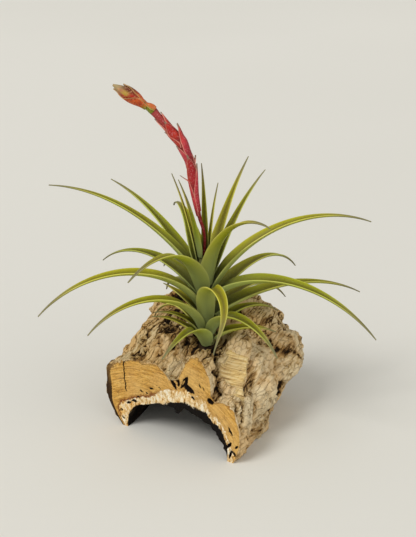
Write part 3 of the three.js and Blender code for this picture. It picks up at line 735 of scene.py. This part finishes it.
# %% Leaf table
LEAVES = [
    (50, 66, 64, 6, 88, 4, 1.6, 60), (137, 66, 54, 6, 82, 22, 1.6, 0),
    (224, 66, 48, 6.5, 85, 14, 1.6, -10), (16, 62, 55, 7, 84, 10, 1.5, 10),
    (168, 62, 64, 7, 82, 12, 1.6, -10), (118, 57, 60, 15, 66, 120, 3.5, -6),
    (58, 52, 92, 10, 58, 24, 1.0, 0), (174, 52.5, 123, 13.5, 57, 56, 1.35, -10),
    (48, 47, 90, 10, 55, 24, 1.3, -4), (312, 46, 97, 17, 84, 90, 1.1, -10),
    (135, 45, 103, 13, 59, 42, 1.0, 6), (2, 40, 130, 18, 60, 84, 1.1, 5),
    (243, 38.5, 103, 17, 80, 104, 0.95, -14), (148, 37.5, 92, 14, 49, 89, 1.15, -4),
    (78, 35, 84, 14, 47, 94, 1.1, 6), (335, 34, 131, 18, 50, 100, 0.76, 0),
    (40, 30, 100, 15, 36, 86, 1.3, 12), (198, 29.5, 128, 18, 65, 108, 0.85, -5),
    (112, 28, 90, 14, 43, 90, 1.1, -4), (150, 24, 34, 11, 42, 34, 1.2, -16),
    (12, 21, 117, 16, 28, 62, 1.1, 12), (90, 21, 84, 13, 44, 98, 1.0, 6),
    (271, 17.6, 112, 15.5, 84, 160, 1.1, 74, -172), (112, 17, 88, 13, 42, 94, 1.0, -4),
    (47, 15.4, 90, 14, 40, 94, 1.0, -4), (212, 12.8, 101, 17, 76, 118, 0.85, -10),
    (84, 11.8, 78, 12, 44, 90, 1.0, 4), (122, 8.4, 70, 12, 35, 88, 1.0, 8),
    (304, 9.5, 80, 15, 70, 128, 0.9, 14), (32, 9.5, 58, 13, 38, 78, 1.0, -6),
    (184, 5.5, 38, 10.5, 48, 40, 1.5, 10), (104, 2.4, 50, 13, 47, 74, 1.0, -6),
    (345, 4, 45, 13, 42, 62, 0.9, 4), (179, 9.3, 36, 10, 60, 66, 1.1, 0),
    (253, 1.0, 72, 15, 68, 98, 0.9, -24),
]
STEM_REACH = [(0, 6.6), (50, 5.6), (60, 4.8), (68, 2.8)]
WIDTH = [(0, 0.60), (0.05, 0.82), (0.11, 0.96), (0.17, 1), (0.3, 0.88), (0.5, 0.61),
         (0.7, 0.37), (0.85, 0.20), (0.95, 0.10), (1, 0.04)]
CUP = [(0, 66), (0.12, 60), (0.4, 50), (0.8, 58), (1, 64)]
THICK = [(0, 1.5), (0.2, 1.3), (0.7, 1.1), (1, 0.8)]
FULL_WIDTH, LEAST_THICK, LEAST_SHARE = 13, 0.62, 0.62

# %% [markdown]
# The line of a leaf is walked in short steps, each in the direction that climb, droop and swing
# give there. Across the line the blade is an arc that the cup angle curls up. A narrow leaf is
# flatter and thinner.

# %% One blank, bent along each line
STEPS = 600
def leaf_points(leaf, blank):
    heading, height, length, wide, climb, droop, bend, swing, *rest = leaf
    swing_back = rest[0] if rest else 0
    def turns(t):
        return (np.radians(climb - droop * t ** bend),
                np.radians(heading + VIEW_TURN + swing * t ** 1.5 + swing_back * t ** 4))
    def direction(t):
        e, h = turns(t)
        return columns(np.cos(e) * np.cos(h), np.cos(e) * np.sin(h), np.sin(e))
    fine = np.linspace(0, 1, STEPS + 1)
    steps = direction((fine[:-1] + fine[1:]) / 2) * length / STEPS
    reach, out = float(along(height, STEM_REACH)), radians(heading + VIEW_TURN)
    foot = [reach * cos(out), reach * sin(out), height]
    path = np.vstack([[0, 0, 0], steps.cumsum(0)]) + PLANT + foot
    x, y, t = blank[:, 0], blank[:, 1], blank[:, 2] + 0.5
    line = columns(*(np.interp(t, fine, path[:, i]) for i in range(3)))
    h = turns(t)[1]
    side = columns(-np.sin(h), np.cos(h), 0 * h)
    upper = np.cross(direction(t), side)
    slim = min(1, max(0.55, wide / FULL_WIDTH))
    cup, width = np.radians(along(t, CUP)) * slim, along(t, WIDTH) * wide
    q, radius = 2 * x * cup, width / 2 / cup
    half = np.maximum(LEAST_THICK, along(t, THICK) * max(slim, LEAST_SHARE) * (1 - 1.8 * x * x)) / 2
    lift = 2 * y * half
    return (line + side * (np.sin(q) * (radius - lift))[:, None]
            + upper * (radius * (1 - np.cos(q)) + np.cos(q) * lift)[:, None])
blank = cut_block("leaf_blank", (12, 1, 60))
flat = corners(blank)
leaves = []
for number, leaf in enumerate(LEAVES, 1):
    only(blank)
    bpy.ops.object.duplicate(linked=False)
    blade = bpy.context.object
    blade.name = f"blade_{number:02d}"
    place(blade, metres(leaf_points(leaf, flat)))
    strain = np.full(len(flat), 0.5 + 0.5 * sin(2.4 * number))
    note(blade, blade=flat * (2, 2, 1) + (0, 0, 0.5), strain=strain)
    rounded(blade, 50)
    leaves.append(blade)
only(blank)
bpy.ops.object.delete()
print("leaves", len(leaves))

# %% [markdown]
# The leaves are olive green, yellower along the margins and browner to the thread of the tip, and
# no two have quite the same tone. The channel reads darker than the keel, and painted shade darkens
# its throat and the base of every leaf, where the leaves crowd together. A silvery bloom of scales
# lies thickest on the back and near the base. Fine lengthwise veins show as the light rakes over
# them. *side* goes across a blade, *face* from keel to channel, *run* to its tip.

# %% Leaf finish
green = finish("silvery_leaf", Roughness=0.48, Specular_IOR_Level=0.22)
blade_place = green.read("blade", "Vector")
side, face, run = green.axes(blade_place)
from_rib = green.maths("ABSOLUTE", side)
upper = green.rises(face, -0.3, 0.3)
channel = green.ramp(from_rib, (0.0, 0.145, 0.112, 0.001), (0.35, 0.23, 0.20, 0.002),
                     (0.75, 0.40, 0.37, 0.004), (0.9, 0.52, 0.48, 0.012), (1.0, 0.70, 0.65, 0.11))
keel = green.ramp(from_rib, (0.0, 0.23, 0.26, 0.003), (0.4, 0.34, 0.36, 0.005),
                  (0.8, 0.45, 0.47, 0.010), (1.0, 0.68, 0.66, 0.11))
ribbed = green.turned(blade_place, Scale=(1.0, 0.0, 0.15))
veins = green.put("ShaderNodeTexWave", {"Vector": ribbed, "Scale": 6.5, "Distortion": 0.5, "Detail": 1.0},
                  wave_type="BANDS", bands_direction="X").outputs["Fac"]
bloom = green.times(green.falls(run, 0.05, 0.50, 0.50), green.between(upper, 0.0, 1.0, 1.0, 0.15))
scales = speckled(green, 1500.0, 0.14)
body = green.mix(upper, keel, channel)
body = green.tinted(patchy(green, 35.0, 0.55), body, (0.78, 0.66, 0.55))
body = green.tinted(green.read("strain"), body, (0.70, 0.82, 0.8))
green.colour(green.coats(
    body,
    (green.rises(run, 0.60, 1.0, 0.75), (0.30, 0.235, 0.07)),
    (green.rises(run, 0.74, 0.96, 0.85), (0.175, 0.155, 0.095)),
    # Painted shade: the channel's throat and the base of every leaf, where the leaves crowd together.
    (green.times(green.falls(run, 0.02, 0.34, 0.95), upper), (0.035, 0.034, 0.002)),
    (green.falls(run, 0.0, 0.15, 0.6), (0.05, 0.062, 0.012)),
    (green.times(veins, 0.14), (0.50, 0.54, 0.08)),
    (bloom, (0.38, 0.47, 0.22)),
    (scales, (0.50, 0.54, 0.20))))
green.feed(green.shader["Roughness"], green.between(green.plus(scales, bloom), 0.0, 0.5, 0.34, 0.62))
green.bump(veins, strength=0.4, distance=0.0003)
for number, blade in enumerate(leaves, 1):
    dress(blade, green, f"leaf_{number:02d}")
print("leaf nodes", len(green.tree.nodes))

# %% [markdown]
# ## Flower spike
# The stalk leans out of the leaves in one flowing line. Each row of its table is the distance
# along it, how far it has gone to the right and up in the picture's plane, and its radius. A
# smooth curve runs through the rows.

# %% The stalk's line
STALK = np.array([
    (0, 0.6, 66.3, 1.5), (11.5, 1.9, 77.5, 1.5), (20, 1.3, 85.5, 1.6), (27.5, -0.5, 93, 1.8),
    (44, -2.7, 109, 2.4), (58, -3.8, 123, 3.1), (68.5, -5, 133.5, 3.1), (75.5, -7.3, 140.3, 3.4),
    (83.5, -10.1, 147.4, 3.9), (90, -14.2, 152.3, 3.4), (97.5, -18.6, 158.4, 2.9),
    (106, -23.7, 164.9, 2.9), (112.4, -27.8, 170, 3.3), (117.3, -31.9, 172.6, 2.3),
    (124, -37.1, 177.3, 4), (132, -43.3, 181.9, 4.2), (139, -49, 185.8, 2.2),
    (142, -51.3, 187.3, 1)])
SPIKE_LENGTH, PARTING, HALF_SLIT = 142, 110.5, 0.15
RIGHTWARD = np.array([cos(radians(VIEW_TURN)), sin(radians(VIEW_TURN)), 0])
FORWARD = np.array([RIGHTWARD[1], -RIGHTWARD[0], 0])
def flowing(s, column):
    knots, y = STALK[:, 0], STALK[:, column]
    i = np.clip(np.searchsorted(knots, s), 1, len(knots) - 1)
    before, after = np.maximum(np.arange(len(y)) - 1, 0), np.minimum(np.arange(len(y)) + 1, len(y) - 1)
    slope = (y[after] - y[before]) / (knots[after] - knots[before])
    w = knots[i] - knots[i - 1]
    k, m0, m1, y0, y1 = (s - knots[i - 1]) / w, slope[i - 1] * w, slope[i] * w, y[i - 1], y[i]
    value = ((2 * k**3 - 3 * k**2 + 1) * y0 + (k**3 - 2 * k**2 + k) * m0
             + (3 * k**2 - 2 * k**3) * y1 + (k**3 - k**2) * m1)
    rate = ((6 * k**2 - 6 * k) * y0 + (3 * k**2 - 4 * k + 1) * m0
            + (6 * k - 6 * k**2) * y1 + (3 * k**2 - 2 * k) * m1) / w
    return value, rate
def stalk_at(s):
    a, da = flowing(s, 1)
    h, dh = flowing(s, 2)
    r, n, up = flowing(s, 3)[0], np.hypot(da, dh), np.array([0, 0, 1.0])
    return (PLANT + a[:, None] * RIGHTWARD + h[:, None] * up,
            (da / n)[:, None] * RIGHTWARD + (dh / n)[:, None] * up,
            (dh / n)[:, None] * RIGHTWARD - (da / n)[:, None] * up, r)
print("the spike's end, in metres", metres(stalk_at(np.array([SPIKE_LENGTH]))[0]).round(4))

# %% [markdown]
# The stalk is sheathed in pointed bracts, each wrapped round the one above. The core is a
# cylinder bent along the stalk's line; each bract is a cut block wrapped round it, its point
# standing a little free. A bract's numbers are where it starts, the side it faces, how far it
# reaches round, its length, the length of its free point and the angle at which that stands off.

# %% Core and bracts
BRACTS = [(30, -80, 85, 32, 7, 44), (33, 70, 85, 34, 20, 5), (42, -150, 85, 24, 8, 6),
          (50, 0, 80, 24, 4, 6), (49, 112, 80, 22.5, 5, 18), (60, 170, 80, 20, 3, 6),
          (64, -60, 80, 18, 3, 8), (72, 70, 80, 23, 10, 17), (80, -80, 75, 15, 2, 8),
          (86, 20, 75, 15, 2, 8), (93, -120, 75, 13, 2, 8), (95, 100, 75, 12, 1, 4)]
TIP_BRACTS = [(111, 80, 80, 9, 1.5, 5), (116, -40, 85, 15, 3, 12), (119, 120, 85, 17, 1.5, 3),
              (122, -130, 80, 18, 3, 4)]
SPREAD = [(0, 0.8), (0.2, 1), (0.5, 0.85), (0.75, 0.45), (0.9, 0.16), (1, 0.07)]
BASE_THICK, POINT_THICK = 1.2, 0.7
def core_points(p, distance):
    point, _, right, r = stalk_at(distance)
    r = np.maximum(0.7, r - 0.5)
    return point + FORWARD * (r * p[:, 0])[:, None] + right * (r * p[:, 1])[:, None]
def bract_points(p, spec):
    start, heading, spread, length, free, angle = spec
    t = p[:, 2] + 0.5
    held, run = length - free, t * length
    past = np.maximum(0, run - held)
    point, ahead, right, r = stalk_at(start + np.minimum(run, held))
    q = np.radians(heading - 2 * p[:, 0] * spread * along(t, SPREAD))
    thick = BASE_THICK + (POINT_THICK - BASE_THICK) * np.minimum(1, 2 * t)
    r = r + 0.1 + 0.5 * t - (0.5 - p[:, 1]) * thick
    out = FORWARD * cos(radians(heading)) + right * sin(radians(heading))
    return (point + FORWARD * (r * np.cos(q))[:, None] + right * (r * np.sin(q))[:, None]
            + out * (past * sin(radians(angle)))[:, None]
            + ahead * (past * cos(radians(angle)))[:, None])

# %% [markdown]
# A core and its bracts are joined into one piece. Before that each corner is told its place on
# its bract, how high it is on the spike, on which side it lies, and its bract's own mood of red.

# %% Two lengths of the spike
def bract(spec):
    start, heading, spread, length, _, _ = spec
    block = cut_block("bract", (12, 1, 18))
    p = corners(block)
    note(block, bract=p * (2, 2, 1) + (0, 0, 0.5),
         height=(start + length * (p[:, 2] + 0.5)) / SPIKE_LENGTH,
         around=np.sin(np.radians(heading - 2 * p[:, 0] * spread)),
         mood=np.full(len(p), 0.5 + 0.5 * sin(2.1 * start)))
    place(block, metres(bract_points(p, spec)))
    return block
def sheathed(name, start, end, rows, specs):
    core = cut_cylinder(name, 24, rows)
    p = corners(core)
    distance = start + (end - start) * (p[:, 2] + 0.5)
    mood = 0.1 + 0.9 * smooth(80, 100, distance)
    note(core, bract=0 * p, height=distance / SPIKE_LENGTH, around=p[:, 1], mood=mood)
    place(core, metres(core_points(p, distance)))
    parts = [bract(spec) for spec in specs]
    only(core)
    for part in parts:
        part.select_set(True)
    bpy.ops.object.join()
    rounded(core, 50)
    return core
stalk = sheathed("red_spike", HALF_SLIT, PARTING - HALF_SLIT, 70, BRACTS)
tip = sheathed("spike_end", PARTING + HALF_SLIT, SPIKE_LENGTH, 24, TIP_BRACTS)
print("spike faces", len(stalk.data.polygons), len(tip.data.polygons))

# %% [markdown]
# The red is dusty: pale scales lie on it as on the leaves, the margins of the bracts are lighter
# and their points are withered. It is darker towards its foot, shade is painted at the foot of
# each bract, under the one above, and down one side, and it is warmer further up. The end is
# orange, with a green waist below it and an olive point.

# %% Spike finishes
def spike_finish(name):
    made = finish(name, Roughness=0.55, Specular_IOR_Level=0.3)
    side, _, run = made.axes(made.read("bract", "Vector"))
    height, around, mood = (made.read(label) for label in ("height", "around", "mood"))
    return made, made.maths("ABSOLUTE", side), run, height, around, mood
def scurfy(look, body, amount, colour):
    scurf = speckled(look, 900.0, amount)
    look.colour(look.mix(scurf, body, colour))
    look.bump(scurf, strength=0.5, distance=0.0005)
red, side, run, height, around, mood = spike_finish("dusty_red")
warm = red.times(red.rises(height, 0.54, 0.62), red.between(height, 0.70, 0.78, 1.0, 0.4))
blotch = patchy(red, 170.0, red.between(height, 0.66, 0.74, 0.55, 0.25))
body = red.coats(
    red.ramp(mood, (0.0, 0.40, 0.012, 0.016), (0.35, 0.58, 0.022, 0.030),
             (0.7, 0.62, 0.04, 0.075), (1.0, 0.66, 0.10, 0.12)),
    (red.falls(height, 0.0, 0.26, 0.75), (0.20, 0.012, 0.012)),
    (red.times(warm, 0.6), (0.62, 0.045, 0.012)),
    (red.rises(height, 0.69, 0.75, 0.75), (0.74, 0.12, 0.10)),
    (red.rises(around, -0.3, -0.9, 0.3), (0.50, 0.12, 0.03)),
    (blotch, (0.32, 0.008, 0.012)),
    # Painted shade at the foot of each bract, under the one above.
    (red.falls(run, 0.02, 0.3, 0.55), (0.16, 0.006, 0.008)),
    # Painted shade down one side of the spike.
    (red.rises(around, 0.55, 1.0, 0.45), (0.14, 0.010, 0.010)),
    (red.rises(side, 0.80, 0.97, 0.7), (0.82, 0.36, 0.27)),
    (red.rises(run, 0.80, 0.97, 0.9), (0.26, 0.22, 0.15)))
scurfy(red, body, 0.42, (0.74, 0.30, 0.30))
orange, side, _, height, around, mood = spike_finish("orange_olive")
olive = orange.mix(patchy(orange, 200.0), (0.50, 0.36, 0.05), (0.52, 0.10, 0.05))
above_olive = orange.times(orange.rises(height, 0.90, 0.93, 0.9), orange.rises(around, -0.7, -0.2))
shaded = orange.times(orange.rises(height, 0.86, 0.92), orange.rises(around, 0.1, 0.7))
waist = orange.mix(orange.rises(around, 0.05, 0.5), (0.17, 0.22, 0.006), (0.55, 0.13, 0.03))
body = orange.coats(
    orange.mix(mood, (0.64, 0.10, 0.012), (0.50, 0.030, 0.010)),
    (patchy(orange, 420.0, 0.65), (0.30, 0.022, 0.010)),
    (above_olive, olive),
    (shaded, (0.13, 0.025, 0.008)),
    (orange.rises(height, 0.93, 0.985, 0.9), (0.40, 0.33, 0.16)),
    (orange.falls(height, 0.815, 0.845), waist),
    (orange.rises(side, 0.80, 0.97, 0.5), (0.62, 0.42, 0.16)))
scurfy(orange, body, 0.7, (0.74, 0.36, 0.18))
dress(stalk, red, "spike_stalk")
dress(tip, orange, "spike_tip")
print("materials", len(bpy.data.materials))
